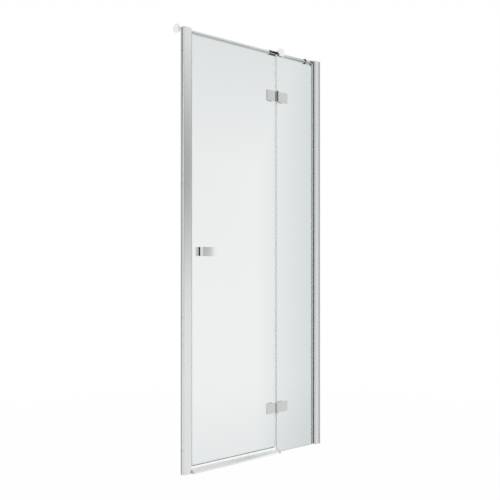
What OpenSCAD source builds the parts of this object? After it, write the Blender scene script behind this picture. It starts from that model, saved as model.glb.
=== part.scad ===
// Hinged shower door with an in-line fixed panel, for a recess between two walls.
// Frame: X across the opening, Y into the shower, Z up. The origin is on the tray,
// in the middle of the opening and in the middle of the glass. The front faces -Y.

/* [Opening] */
// Width from wall to wall
opening_w = 900; // [800:10:1100]
// Height of the wall profiles, with their top caps
frame_h = 1950; // [1850:10:2050]
// Distance from the right wall to the axis of the hinges
panel_span = 316; // [280:2:400]

/* [Wall profiles] */
// Width of a profile's front face
profile_w = 43.5; // [40:0.5:52]
// Depth of a profile, front to back
profile_depth = 25; // [24:1:30]
// Wall thickness of the extrusions
profile_wall = 1.8; // [1.4:0.1:2.4]
// Corner radius of the visible profile
profile_corner_r = 1; // [0.8:0.2:3]
// How far the middle of the profile's front stands out
profile_crown = 0.2; // [0.1:0.1:2]
// Thickness of the channel's base on the wall
channel_base = 2.2; // [1.6:0.2:3]
// Length of the channel's legs, from the wall
channel_reach = 24; // [20:1:26]
// Depth of the pocket that takes the glass or the strike
pocket_depth = 14; // [12:1:16]
// Width of that pocket
pocket_w = 14; // [13:0.5:16]
// Thickness of a top cap
cap_t = 2; // [1.5:0.5:3]
// Radius of the holes for the wall screws
wall_hole_r = 2.6; // [2:0.1:3]
// Number of wall screw holes in a channel
wall_holes = 4; // [3:1:6]
// Distance from either end of a channel to its first hole
wall_hole_inset = 105; // [60:5:160]

/* [Glass] */
// Thickness of the panes
glass_t = 8; // [6:1:8]
// Height of the door glass above the tray
door_lift = 30; // [28:1:36]
// Height of the fixed glass above the tray
fixed_lift = 3; // [2:1:6]
// How far the top of the glass lies below the top of the profiles
glass_drop = 14; // [10:1:20]
// Gap between the two panes at the hinges
pane_gap = 12; // [10:1:14]
// Gap between the left profile and the door glass
latch_gap = 8.5; // [8:0.5:12]

/* [Hinges] */
// Height of a hinge's middle from the nearer end of the profiles
hinge_inset = 222; // [150:2:300]
// Reach of a panel plate from the axis
plate_reach = 74; // [64:1:84]
// Reach of a door plate from the axis
door_plate_reach = 69; // [64:1:84]
// Height of a hinge plate
plate_h = 50; // [44:1:60]
// Thickness of a front plate
plate_t = 5.5; // [5:0.5:8]
// Thickness of a back plate
back_plate_t = 4; // [4:0.5:6]
// Width of a back plate
back_plate_w = 30; // [28:1:40]
// Distance from the axis to the nearer end of the pads
pad_start = 20; // [17:0.5:22]
// Radius of the hinge barrel
barrel_r = 8; // [7.5:0.5:10]
// Radius of the hinge pin
pin_r = 4; // [3:0.25:4.5]
// Wall thickness of a hinge bush
bush_wall = 1; // [0.8:0.1:1.5]
// Height of the middle knuckle
knuckle_h = 25; // [20:1:30]
// Radius of the clamping screws
hinge_screw_r = 3; // [2.5:0.25:3.5]
// Distance between the two screws of a plate
hinge_screw_pitch = 26; // [22:1:30]
// Radius of the holes in the glass
glass_hole_r = 7; // [6:0.5:9]
// Thickness of the pads between plate and glass
pad_t = 1; // [0.8:0.1:1.5]

/* [Handle] */
// Height of the handle's middle above the tray
handle_z = 973; // [850:5:1100]
// Distance from the left wall to the handle
handle_inset = 99; // [85:1:140]
// Width of the handle
handle_w = 82; // [70:1:120]
// Height of the handle
handle_h = 40; // [30:1:50]
// Depth of the handle, from its pads to its front
handle_depth = 22; // [20:1:34]
// Thickness of the handle's front plate
handle_plate_t = 5; // [4:0.5:7]
// Thickness of a handle leg
handle_leg_t = 9; // [8:0.5:12]
// Corner radius of the handle
handle_corner_r = 2; // [1.5:0.5:6]
// How far the middle of the handle's front stands out
handle_crown = 2; // [0.5:0.5:3]
// Thickness of the handle's pads
handle_pad_t = 1.5; // [1:0.5:4]
// Radius of the handle's studs
stud_r = 2.5; // [2:0.25:3]
// Length of a stud inside a handle leg
stud_grip = 12; // [8:1:14]

/* [Threshold] */
// How far the threshold reaches in front of the middle of the glass
threshold_front = 24; // [20:1:34]
// How far it reaches behind the middle of the glass
threshold_back = 12; // [10:1:20]
// Height of the threshold
threshold_h = 18; // [14:1:20]
// Height of the threshold's front edge
threshold_nose_h = 7; // [4:0.5:10]
// Wall thickness of the threshold
threshold_wall = 1.8; // [1.4:0.1:2.4]
// Length of the end caps' plugs and plates together
end_cap_len = 8; // [6:1:12]

/* [Stabiliser] */
// Outer radius of the stabiliser tube
tube_r = 9.5; // [8:0.5:12]
// Wall thickness of the tube
tube_wall = 1.5; // [1:0.25:2]
// Distance of the tube's axis behind the middle of the glass
tube_back = 40; // [36:1:55]
// Height of the tube's axis above the top of the profiles
tube_rise = 1; // [-2:1:12]
// Radius of a wall rosette
rosette_r = 19.5; // [19:0.5:28]
// Depth of a wall rosette
rosette_depth = 9; // [8:0.5:14]
// Wall thickness of the sockets that hold the tube
socket_wall = 2.4; // [2:0.2:3.5]
// Length of the left socket
left_socket_len = 22; // [18:1:60]
// Length of the right socket
right_socket_len = 62; // [18:1:80]
// Radius of the screw holes in a socket's base
base_hole_r = 1.8; // [1.5:0.1:2.2]
// Distance from the free edge of the fixed glass to the middle of its clamp
clamp_inset = 28; // [20:1:60]
// Width of the clamp's front jaw
clamp_w = 34; // [30:1:50]
// How far the clamp's jaws grip the glass
clamp_grip = 6; // [6:1:18]
// Height of the clamp above the glass
clamp_rise = 30; // [28:1:40]

/* [Seals and fits] */
// Wall thickness of the clear seals
seal_wall = 1.3; // [1:0.1:1.8]
// How far a seal reaches onto the glass
seal_grip = 6; // [5:1:12]
// Gap between the two halves of the magnetic closure
magnet_gap = 1; // [0.8:0.1:1.5]
// Clearance between pieces that slide together when assembled
fit = 0.1; // [0.05:0.01:0.2]
// Running clearance of the hinge pin in its bushes
running = 0.05; // [0.02:0.01:0.08]
// Clearance between moving and fixed pieces
swing_gap = 0.5; // [0.4:0.1:0.8]

/* [Hidden] */

round_fn = 64;
eps = 0.01;

// Walls, panes and axis
left_x = -opening_w / 2;
right_x = opening_w / 2;
pivot_x = right_x - panel_span;
glass_face = glass_t / 2;
glass_top = frame_h - glass_drop;
door_x0 = left_x + profile_w + latch_gap;
door_x1 = pivot_x - pane_gap / 2;
fixed_x0 = pivot_x + pane_gap / 2;
pocket_floor = profile_w - pocket_depth;
glass_seat_gap = 2;
fixed_x1 = right_x - pocket_floor - glass_seat_gap;

// Wall profiles
half_depth = profile_depth / 2;
wall_reveal = 0.8;
crown_r = (profile_w * profile_w) / (8 * profile_crown);
cavity_w = profile_depth - 2 * profile_wall;
channel_slack = 0.5;
channel_w = cavity_w - 2 * channel_slack;
cavity_reach = pocket_floor - profile_wall;
groove_w = 12;
groove_depth = 0.8;
profile_len = frame_h - cap_t;
wall_hole_pitch = (frame_h - 2 * wall_hole_inset) / (wall_holes - 1);
profile_screw_r = 2;
profile_screw_x = channel_reach * 0.62;
profile_screw_head_r = 4;
profile_screw_head_t = 2.2;
profile_screw_dome_r = 6;
profile_screw_tip = 5;
profile_screw_inset = 160;
profile_screw_heights = [profile_screw_inset, frame_h / 2, frame_h - profile_screw_inset];

// Hinges
upper_hinge_z = frame_h - hinge_inset;
lower_hinge_z = hinge_inset;
pivot_y = -(glass_face + swing_gap + barrel_r);
plate_back = -(glass_face + pad_t);
plate_front = plate_back - plate_t;
plate_corner_r = 2;
plate_chamfer = 0.6;
back_plate_front = glass_face + pad_t;
back_plate_back = back_plate_front + back_plate_t;
function plate_len(side) = side < 0 ? door_plate_reach : plate_reach;
function flat_middle(side) = (plate_len(side) + pad_start) / 2;
screw_offset = pad_start + 1 + back_plate_w / 2;
knuckle_gap = 0.4;
end_knuckle_h = (plate_h - knuckle_h) / 2 - knuckle_gap;
bush_r = pin_r + running + bush_wall;
bush_flange_t = 1;
bush_flange_r = barrel_r - 1.2;
pin_cap_r = barrel_r - 2.5;
pin_cap_t = 2.4;
screw_head_r = 2 * hinge_screw_r;
screw_head_t = hinge_screw_r;
screw_in_plate = plate_t - 1.5;
pin_screw_r = 1.5;

// Handle
handle_x0 = left_x + handle_inset;
handle_back = -(glass_face + handle_pad_t);
handle_front = handle_back - handle_depth;
handle_crown_r = (handle_w * handle_w) / (8 * handle_crown);
handle_stud_x = [handle_x0 + handle_leg_t / 2, handle_x0 + handle_w - handle_leg_t / 2];
handle_hole_r = 5;

// Threshold
latch_head_w = 6.5;
strike_face = profile_w + latch_gap - latch_head_w;
threshold_x0 = left_x + strike_face + 0.2;
threshold_x1 = fixed_x0 - 2;
threshold_top_front = -8;
threshold_top_back = 4;
threshold_back_h = threshold_h - 6;
nose_reach = 8;
cap_plate_t = 3;

// Stabiliser tube and clamp
tube_z = frame_h + tube_rise;
base_t = 4;
base_r = rosette_r - 2;
socket_r = tube_r + fit + socket_wall;
rosette_wall = 1.5;
tube_x0 = left_x + base_t;
tube_x1 = right_x - base_t;
base_hole_pitch = base_r + socket_r;
ring_r = socket_r + 1.5;
ring_len = 3;
set_screw_r = 2;
set_screw_inset = 8;
clamp_x = fixed_x0 + clamp_inset;
jaw_t = 5;
jaw_corner_r = 4;
collar_r = tube_r + 2.2;
collar_len = 50;
arm_w = 18;
arm_top = tube_z + arm_w / 2;
collar_x1 = clamp_x + arm_w / 2;
collar_x0 = collar_x1 - collar_len;
clamp_z0 = glass_top - clamp_grip;
clamp_z1 = glass_top + clamp_rise;
clamp_screw_r = 2.5;
clamp_screw_z = glass_top + 9;
back_jaw_w = clamp_w - 6;
bridge_w = 24;
bridge_gap = 1.5;
bridge_top = glass_top + 18;

// Seals
seal_slot = glass_face + fit;
seal_outer = seal_slot + seal_wall;
magnet_t = 3;
magnet_w = 7;
latch_face = strike_face + magnet_gap;
seal_end_gap = 1;
hinge_clear = plate_h / 2 + 2;
blade_gap = 0.8;
fin_t = 1.4;
flap_reach = 14;
flap_drop = 5;

// ---- Shared shapes ----

// Box between two corners
module slab(x, y, z) {
    translate([x[0], y[0], z[0]])
        cube([x[1] - x[0], y[1] - y[0], z[1] - z[0]]);
}

// Cylinder along Y
module rod_y(x, z, r, y) {
    translate([x, y[0], z])
        rotate([-90, 0, 0])
            cylinder(h = y[1] - y[0], r = r, $fn = round_fn);
}

// Cylinder along X
module rod_x(y, z, r, x) {
    translate([x[0], y, z])
        rotate([0, 90, 0])
            cylinder(h = x[1] - x[0], r = r, $fn = round_fn);
}

// Upright cylinder
module rod_z(x, y, r, z) {
    translate([x, y, z[0]])
        cylinder(h = z[1] - z[0], r = r, $fn = round_fn);
}

// Rectangle about its middle, with round corners
module rounded_rect(w, h, r) {
    square([w - 2 * r, h], center = true);
    square([w, h - 2 * r], center = true);
    for (sx = [-1, 1], sy = [-1, 1])
        translate([sx * (w / 2 - r), sy * (h / 2 - r)])
            circle(r = r, $fn = round_fn);
}

// Plate facing Y, with round corners
module face_plate(x, z, w, h, r, y) {
    translate([x, y[1], z])
        rotate([90, 0, 0])
            linear_extrude(y[1] - y[0])
                rounded_rect(w, h, r);
}

// Countersunk screw along Y: head at the back, tip towards the front
module countersunk_screw(x, z, r, head_r, head_t, y_head, y_tip) {
    translate([x, y_head, z])
        rotate([90, 0, 0])
            difference() {
                rotate_extrude($fn = round_fn)
                    polygon([
                        [0, 0], [head_r, 0], [head_r, 0.4], [r, head_t + 0.4],
                        [r, y_head - y_tip - 0.5], [r - 0.5, y_head - y_tip], [0, y_head - y_tip]
                    ]);
                translate([0, 0, -eps])
                    cylinder(h = head_t * 0.8, r = r * 0.75, $fn = 6);
            }
}

// Hole for such a screw in a back plate
module countersink(x, z, r, head_r, head_t, y_head, y_end) {
    translate([x, y_head, z])
        rotate([90, 0, 0])
            rotate_extrude($fn = round_fn)
                polygon([
                    [0, -1], [head_r + fit, -1], [head_r + fit, 0.4], [r + fit, head_t + 0.4],
                    [r + fit, y_head - y_end + 1], [0, y_head - y_end + 1]
                ]);
}

// Set screw along Z with a hexagon socket in its lower end
module set_screw_z(x, y, r, z) {
    difference() {
        rod_z(x, y, r, z);
        translate([x, y, z[0] - eps])
            cylinder(h = r, r = r * 0.55, $fn = 6);
    }
}

module at_left() {
    translate([left_x, 0, 0])
        children();
}

module at_right() {
    translate([right_x, 0, 0])
        mirror([1, 0, 0])
            children();
}

// ---- Wall profiles, drawn from the wall at X = 0 ----

module channel_section() {
    difference() {
        translate([0, -channel_w / 2])
            square([channel_reach, channel_w]);
        translate([channel_base, -channel_w / 2 + profile_wall])
            square([channel_reach, channel_w - 2 * profile_wall]);
        translate([-1, -groove_w / 2])
            square([1 + groove_depth, groove_w]);
    }
}

module wall_channel() {
    difference() {
        linear_extrude(profile_len - 1)
            channel_section();
        for (i = [0 : wall_holes - 1])
            rod_x(0, wall_hole_inset + i * wall_hole_pitch, wall_hole_r, [-1, channel_base + 1]);
        for (z = profile_screw_heights)
            rod_y(profile_screw_x, z, profile_screw_r + fit / 2, [channel_w / 4, half_depth]);
    }
}

// Outline of the visible profile, with its crowned front
module cover_outline() {
    intersection() {
        translate([(wall_reveal + profile_w) / 2, 0])
            rounded_rect(profile_w - wall_reveal, profile_depth, profile_corner_r);
        translate([profile_w / 2, crown_r - half_depth])
            circle(r = crown_r, $fn = 4 * round_fn);
    }
}

module cover_profile() {
    difference() {
        linear_extrude(profile_len)
            difference() {
                cover_outline();
                translate([-1, -cavity_w / 2])
                    square([1 + cavity_reach, cavity_w]);
                translate([pocket_floor, -pocket_w / 2])
                    square([pocket_depth + 1, pocket_w]);
            }
        for (z = profile_screw_heights)
            rod_y(profile_screw_x, z, profile_screw_r + 2 * fit, [channel_w / 2, half_depth + 1]);
    }
}

// Cap on top of a profile, with a plug that fills the hollow's mouth
module top_cap() {
    plug_len = 8;
    plug_gap = 0.3;
    translate([0, 0, profile_len])
        linear_extrude(cap_t)
            cover_outline();
    translate([0, 0, profile_len - plug_len])
        linear_extrude(plug_len)
            translate([channel_reach + plug_gap, -cavity_w / 2 + plug_gap])
                square([cavity_reach - channel_reach - 2 * plug_gap, cavity_w - 2 * plug_gap]);
}

// Pan-head screws that fix the profile to the channel from inside the shower
module profile_screws() {
    for (z = profile_screw_heights)
        difference() {
            union() {
                rod_y(profile_screw_x, z, profile_screw_r, [profile_screw_tip, half_depth]);
                intersection() {
                    rod_y(profile_screw_x, z, profile_screw_head_r,
                          [half_depth, half_depth + profile_screw_head_t]);
                    translate([profile_screw_x, half_depth + profile_screw_head_t - profile_screw_dome_r, z])
                        sphere(r = profile_screw_dome_r, $fn = round_fn);
                }
            }
            cross_recess(profile_screw_x, z, half_depth + profile_screw_head_t);
        }
}

// Cross recess in the head of a screw that faces +Y
module cross_recess(x, z, y) {
    for (turn = [0, 90])
        translate([x, y, z])
            rotate([0, turn, 0])
                cube([3.6, 2.4, 0.9], center = true);
}

module left_wall_channel() {
    color("gainsboro")
        at_left() wall_channel();
}

module left_cover_profile() {
    color("silver")
        at_left() cover_profile();
}

module left_top_cap() {
    color("silver")
        at_left() top_cap();
}

module left_profile_screws() {
    color("lightgray")
        at_left() profile_screws();
}

module right_wall_channel() {
    color("gainsboro")
        at_right() wall_channel();
}

module right_cover_profile() {
    color("silver")
        at_right() cover_profile();
}

module right_top_cap() {
    color("silver")
        at_right() top_cap();
}

module right_profile_screws() {
    color("lightgray")
        at_right() profile_screws();
}

// ---- Magnetic closure ----

// Strip in the left profile's pocket that holds the strike magnet
module strike_profile() {
    half = pocket_w / 2 - fit;
    color("lightgray")
        at_left()
            linear_extrude(profile_len)
                difference() {
                    translate([pocket_floor + fit, -half])
                        square([strike_face - pocket_floor - fit, 2 * half]);
                    translate([pocket_floor + fit + seal_wall, -half + seal_wall])
                        square([pocket_depth - magnet_t - 3 * seal_wall, 2 * (half - seal_wall)]);
                    translate([strike_face - seal_wall - magnet_t - fit, -magnet_w / 2 - fit])
                        square([magnet_t + 2 * fit, magnet_w + 2 * fit]);
                }
}

module strike_magnet() {
    color("dimgray")
        at_left()
            slab([strike_face - seal_wall - magnet_t, strike_face - seal_wall],
                 [-magnet_w / 2, magnet_w / 2], [4, profile_len - 4]);
}

// Clear seal on the door's free edge, with the pocket for its magnet
module latch_seal() {
    head = magnet_w / 2 + fit + seal_wall;
    glass_edge = profile_w + latch_gap;
    color("lightblue")
        at_left()
            translate([0, 0, door_lift + seal_end_gap])
                linear_extrude(glass_top - door_lift - 2 * seal_end_gap)
                    difference() {
                        union() {
                            translate([latch_face, -head])
                                square([glass_edge - latch_face - fit, 2 * head]);
                            translate([glass_edge - 1, -seal_outer])
                                square([seal_grip + 1, 2 * seal_outer]);
                        }
                        translate([glass_edge - fit, -seal_slot])
                            square([seal_grip + 1, 2 * seal_slot]);
                        translate([latch_face + seal_wall - fit, -magnet_w / 2 - fit])
                            square([magnet_t + 2 * fit, magnet_w + 2 * fit]);
                    }
}

module latch_magnet() {
    color("dimgray")
        at_left()
            slab([latch_face + seal_wall, latch_face + seal_wall + magnet_t],
                 [-magnet_w / 2, magnet_w / 2],
                 [door_lift + 6, glass_top - 6]);
}

// ---- Fixed glass and its seat ----

// Holes for the screws of both hinges
module hinge_holes(side) {
    for (z = [lower_hinge_z, upper_hinge_z], s = [-1, 1])
        rod_y(pivot_x + side * screw_offset, z + s * hinge_screw_pitch / 2,
              glass_hole_r, [-glass_t, glass_t]);
}

module fixed_glass() {
    color("lightcyan", 0.4)
        difference() {
            slab([fixed_x0, fixed_x1], [-glass_face, glass_face], [fixed_lift, glass_top]);
            hinge_holes(1);
        }
}

// Rubber wedge along one face of the fixed glass, with a lip outside the pocket
module glazing_gasket() {
    lip = 2;
    lip_t = pocket_w / 2 - glass_face + 0.4;
    barb = 1.4;
    translate([0, 0, fixed_lift + 1])
        linear_extrude(glass_top - fixed_lift - 2)
            union() {
                translate([pocket_floor + glass_seat_gap, glass_face + fit / 2])
                    square([pocket_depth - glass_seat_gap, pocket_w / 2 - glass_face - fit]);
                polygon([
                    [profile_w + fit, glass_face + fit / 2],
                    [profile_w + lip, glass_face + fit / 2],
                    [profile_w + lip, glass_face + 1],
                    [profile_w + lip - barb, glass_face + lip_t],
                    [profile_w + fit, glass_face + lip_t]
                ]);
                translate([profile_w - 1, glass_face + fit / 2])
                    square([2, pocket_w / 2 - glass_face - fit]);
            }
}

module glazing_gasket_front() {
    color("dimgray")
        at_right()
            mirror([0, 1, 0])
                glazing_gasket();
}

module glazing_gasket_back() {
    color("dimgray")
        at_right() glazing_gasket();
}

// Two blocks that carry the fixed glass on the tray
module setting_blocks() {
    block_len = 40;
    block_edge = 30;
    color("gray")
        for (x = [fixed_x0 + block_edge, right_x - profile_w - block_edge - block_len])
            slab([x, x + block_len], [-glass_face, glass_face], [0, fixed_lift]);
}

// ---- Threshold under the door ----

// Cross-section in Y and Z, shrunk by a wall thickness and open below
module threshold_section(wall) {
    soft = wall * 0.4;
    foot = wall > 0 ? -1 : 0;
    polygon([
        [-threshold_front + wall, foot],
        [-threshold_front + wall, threshold_nose_h - soft],
        [threshold_top_front + soft, threshold_h - wall],
        [threshold_top_back - soft, threshold_h - wall],
        [threshold_back - wall, threshold_back_h - soft],
        [threshold_back - wall, foot]
    ]);
}

// Sweep of a Y and Z section along X
module along_x(x) {
    translate([x[0], 0, 0])
        rotate([90, 0, 90])
            linear_extrude(x[1] - x[0])
                children();
}

module threshold_bar() {
    color("silver")
        along_x([threshold_x0 + cap_plate_t, threshold_x1 - cap_plate_t])
            difference() {
                threshold_section(0);
                threshold_inner();
            }
}

// Hollow of the threshold, open to the tray on either side of a middle web
module threshold_inner() {
    difference() {
        threshold_section(threshold_wall);
        translate([-threshold_wall / 2, -2])
            square([threshold_wall, threshold_h + 2]);
    }
}

// End cap: a plate and two plugs in the hollow
module threshold_cap(x_plate, x_plug) {
    along_x(x_plate)
        threshold_section(0);
    along_x(x_plug)
        for (y = [[-threshold_front, -threshold_wall / 2 - fit], [threshold_wall / 2 + fit, threshold_back]])
            intersection() {
                threshold_section(threshold_wall + fit);
                translate([y[0], 0])
                    square([y[1] - y[0], threshold_h]);
            }
}

module threshold_left_cap() {
    color("whitesmoke")
        threshold_cap([threshold_x0, threshold_x0 + cap_plate_t],
                      [threshold_x0 + cap_plate_t, threshold_x0 + end_cap_len]);
}

// The right cap also closes the corner in front of the fixed glass
module threshold_right_cap() {
    color("whitesmoke") {
        threshold_cap([threshold_x1 - cap_plate_t, threshold_x1],
                      [threshold_x1 - end_cap_len, threshold_x1 - cap_plate_t]);
        along_x([threshold_x1, threshold_x1 + nose_reach])
            intersection() {
                threshold_section(0);
                translate([-threshold_front, 0])
                    square([threshold_front - glass_face - 1, threshold_h]);
            }
    }
}

// ---- Stabiliser tube, sockets and rosettes ----

module stabiliser_tube() {
    color("silver")
        difference() {
            rod_x(tube_back, tube_z, tube_r, [tube_x0, tube_x1]);
            rod_x(tube_back, tube_z, tube_r - tube_wall, [tube_x0 - 1, tube_x1 + 1]);
        }
}

// Wall socket, drawn from the wall at X = 0
module tube_socket(len) {
    difference() {
        union() {
            rod_x(tube_back, tube_z, base_r, [0, base_t - fit]);
            rod_x(tube_back, tube_z, socket_r, [0, len]);
        }
        rod_x(tube_back, tube_z, tube_r + fit, [base_t - fit, len + 1]);
        for (s = [-1, 1])
            rod_x(tube_back + s * base_hole_pitch / 2, tube_z, base_hole_r, [-1, base_t + 1]);
        rod_z(len - set_screw_inset, tube_back, set_screw_r + fit / 2, [tube_z - socket_r - 1, tube_z]);
    }
}

// Rosette that hides the socket's base
module rosette() {
    translate([0, tube_back, tube_z])
        rotate([0, 90, 0])
            rotate_extrude($fn = round_fn)
                polygon([
                    [rosette_r - rosette_wall, 0],
                    [rosette_r, 0],
                    [rosette_r, rosette_depth - 2],
                    [rosette_r - 0.6, rosette_depth - 0.6],
                    [rosette_r - 2, rosette_depth],
                    [socket_r + fit, rosette_depth],
                    [socket_r + fit, rosette_depth - rosette_wall],
                    [rosette_r - rosette_wall, rosette_depth - rosette_wall]
                ]);
}

module left_tube_socket() {
    color("silver")
        at_left() tube_socket(left_socket_len);
}

module right_tube_socket() {
    color("silver")
        at_right() tube_socket(right_socket_len);
}

module left_rosette() {
    color("whitesmoke")
        at_left() rosette();
}

module right_rosette() {
    color("whitesmoke")
        at_right() rosette();
}

// Rubber ring between the tube and the long right socket
module tube_end_ring() {
    color("dimgray")
        at_right()
            difference() {
                rod_x(tube_back, tube_z, ring_r, [right_socket_len, right_socket_len + ring_len]);
                rod_x(tube_back, tube_z, tube_r + fit / 2,
                      [right_socket_len - 1, right_socket_len + ring_len + 1]);
            }
}

module tube_set_screws() {
    color("dimgray") {
        for (x = [left_x + left_socket_len - set_screw_inset, right_x - right_socket_len + set_screw_inset])
            set_screw_z(x, tube_back, set_screw_r, [tube_z - socket_r, tube_z - tube_r - fit / 2]);
        set_screw_z(clamp_x, tube_back, set_screw_r,
                    [tube_z - collar_r + 0.5, tube_z - tube_r - fit / 2]);
    }
}

// ---- Clamp between the fixed glass and the tube ----

module clamp_body() {
    color("silver")
        difference() {
            union() {
                rod_x(tube_back, tube_z, collar_r, [collar_x0, collar_x1]);
                slab([clamp_x - arm_w / 2, clamp_x + arm_w / 2], [glass_face + pad_t, tube_back - tube_r],
                     [arm_top - arm_w, arm_top]);
                face_plate(clamp_x, (clamp_z0 + arm_top) / 2, back_jaw_w, arm_top - clamp_z0, jaw_corner_r,
                           [glass_face + pad_t, glass_face + pad_t + jaw_t]);
                slab([clamp_x - bridge_w / 2, clamp_x + bridge_w / 2],
                     [-(glass_face + pad_t), glass_face + pad_t + 1],
                     [glass_top + bridge_gap, bridge_top]);
            }
            rod_x(tube_back, tube_z, tube_r + fit, [collar_x0 - 1, collar_x1 + 1]);
            countersink(clamp_x, clamp_screw_z, clamp_screw_r, 2 * clamp_screw_r, clamp_screw_r,
                        glass_face + pad_t + jaw_t, -glass_t);
            rod_z(clamp_x, tube_back, set_screw_r + fit / 2, [tube_z - collar_r - 1, tube_z]);
        }
}

// Front jaw: the light block that stands over the edge of the glass
module clamp_front_jaw() {
    jaw_back = -(glass_face + pad_t);
    color("whitesmoke")
        difference() {
            face_plate(clamp_x, (clamp_z0 + clamp_z1) / 2, clamp_w, clamp_z1 - clamp_z0, jaw_corner_r,
                       [jaw_back - jaw_t, jaw_back]);
            rod_y(clamp_x, clamp_screw_z, clamp_screw_r + fit / 2, [jaw_back - jaw_t + 1.5, jaw_back + 1]);
        }
}

module clamp_pads() {
    color("dimgray")
        for (s = [-1, 1])
            slab([clamp_x - clamp_w / 2 + 4, clamp_x + clamp_w / 2 - 4],
                 s > 0 ? [glass_face, glass_face + pad_t] : [-glass_face - pad_t, -glass_face],
                 [clamp_z0 + 1, glass_top - 0.5]);
}

module clamp_screw() {
    jaw_back = -(glass_face + pad_t);
    color("lightgray")
        countersunk_screw(clamp_x, clamp_screw_z, clamp_screw_r, 2 * clamp_screw_r, clamp_screw_r,
                          glass_face + pad_t + jaw_t, jaw_back - jaw_t + 2);
}

// ---- Hinges: side is -1 for the door and 1 for the fixed panel ----

// Plan of a front plate: the flat runs into the barrel
module plate_plan(side) {
    translate([pivot_x, 0])
        mirror([side > 0 ? 1 : 0, 0])
            union() {
                polygon([
                    [-plate_len(side), plate_back],
                    [-plate_len(side), plate_front + plate_chamfer],
                    [-plate_len(side) + plate_chamfer, plate_front],
                    [-barrel_r * 0.8, plate_front],
                    [0, pivot_y],
                    [-barrel_r * 0.7, plate_back]
                ]);
                translate([0, pivot_y])
                    circle(r = barrel_r, $fn = round_fn);
            }
}

// Front plate of one side at a hinge's height
module hinge_plate(side, z) {
    middle = knuckle_h / 2;
    top = plate_h / 2;
    own = side < 0 ? bush_r + fit / 5 : pin_r + fit / 5;
    difference() {
        translate([0, 0, z - top])
            linear_extrude(plate_h)
                plate_plan(side);
        if (side < 0)
            rod_z(pivot_x, pivot_y, barrel_r + swing_gap,
                  [z - middle - knuckle_gap, z + middle + knuckle_gap]);
        if (side > 0)
            for (s = [-1, 1])
                rod_z(pivot_x, pivot_y, barrel_r + swing_gap,
                      s > 0 ? [z + middle, z + top + 1] : [z - top - 1, z - middle]);
        rod_z(pivot_x, pivot_y, own, [z - top - 1, z + top + 1]);
        for (s = [-1, 1])
            rod_y(pivot_x + side * screw_offset, z + s * hinge_screw_pitch / 2,
                  hinge_screw_r + fit / 5, [plate_back - screw_in_plate, plate_back + 1]);
        if (side > 0)
            rod_y(pivot_x, z, pin_screw_r + fit / 5, [pivot_y - barrel_r - 1, pivot_y]);
    }
}

module hinge_back_plate(side, z) {
    difference() {
        face_plate(pivot_x + side * screw_offset, z, back_plate_w, plate_h, plate_corner_r,
                   [back_plate_front, back_plate_back]);
        for (s = [-1, 1])
            countersink(pivot_x + side * screw_offset, z + s * hinge_screw_pitch / 2,
                        hinge_screw_r, screw_head_r, screw_head_t, back_plate_back, back_plate_front);
    }
}

// Pads on the two faces of the glass, each a little smaller than its plate
module hinge_pads(side, z) {
    inset = 1;
    flat_w = plate_len(side) - pad_start;
    difference() {
        union() {
            face_plate(pivot_x + side * flat_middle(side), z, flat_w - inset, plate_h - inset,
                       plate_corner_r, [plate_back, -glass_face]);
            face_plate(pivot_x + side * screw_offset, z, back_plate_w - inset, plate_h - inset,
                       plate_corner_r, [glass_face, back_plate_front]);
        }
        for (s = [-1, 1])
            rod_y(pivot_x + side * screw_offset, z + s * hinge_screw_pitch / 2,
                  hinge_screw_r + fit, [-glass_t, glass_t]);
    }
}

module hinge_screws(side) {
    for (z = [lower_hinge_z, upper_hinge_z], s = [-1, 1])
        countersunk_screw(pivot_x + side * screw_offset, z + s * hinge_screw_pitch / 2,
                          hinge_screw_r, screw_head_r, screw_head_t,
                          back_plate_back, plate_back - screw_in_plate + 0.5);
}

// Pin with a domed cap at either end
module hinge_pin(z) {
    top = plate_h / 2 + bush_flange_t + 0.3;
    translate([pivot_x, pivot_y, z])
        rotate_extrude($fn = round_fn)
            polygon([
                [0, -top - pin_cap_t],
                [pin_cap_r - 1.5, -top - pin_cap_t],
                [pin_cap_r, -top - pin_cap_t + 1.5],
                [pin_cap_r, -top],
                [pin_r, -top],
                [pin_r, top],
                [pin_cap_r, top],
                [pin_cap_r, top + pin_cap_t - 1.5],
                [pin_cap_r - 1.5, top + pin_cap_t],
                [0, top + pin_cap_t]
            ]);
}

// Flanged bush in either end knuckle
module hinge_bushes(z) {
    top = plate_h / 2;
    for (s = [-1, 1])
        translate([pivot_x, pivot_y, z])
            mirror([0, 0, s > 0 ? 0 : 1])
                rotate_extrude($fn = round_fn)
                    polygon([
                        [pin_r + running, top - end_knuckle_h],
                        [bush_r, top - end_knuckle_h],
                        [bush_r, top],
                        [bush_flange_r, top],
                        [bush_flange_r, top + bush_flange_t],
                        [pin_r + running, top + bush_flange_t]
                    ]);
}

// Screw that locks the pin in the middle knuckle
module hinge_pin_set_screws() {
    color("dimgray")
        for (z = [lower_hinge_z, upper_hinge_z])
            rod_y(pivot_x, z, pin_screw_r, [pivot_y - barrel_r + 0.6, pivot_y - pin_r - fit / 2]);
}

module upper_panel_plate() {
    color("silver") hinge_plate(1, upper_hinge_z);
}

module lower_panel_plate() {
    color("silver") hinge_plate(1, lower_hinge_z);
}

module upper_door_plate() {
    color("silver") hinge_plate(-1, upper_hinge_z);
}

module lower_door_plate() {
    color("silver") hinge_plate(-1, lower_hinge_z);
}

module upper_panel_back_plate() {
    color("silver") hinge_back_plate(1, upper_hinge_z);
}

module lower_panel_back_plate() {
    color("silver") hinge_back_plate(1, lower_hinge_z);
}

module upper_door_back_plate() {
    color("silver") hinge_back_plate(-1, upper_hinge_z);
}

module lower_door_back_plate() {
    color("silver") hinge_back_plate(-1, lower_hinge_z);
}

module upper_panel_pads() {
    color("gray") hinge_pads(1, upper_hinge_z);
}

module lower_panel_pads() {
    color("gray") hinge_pads(1, lower_hinge_z);
}

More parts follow.
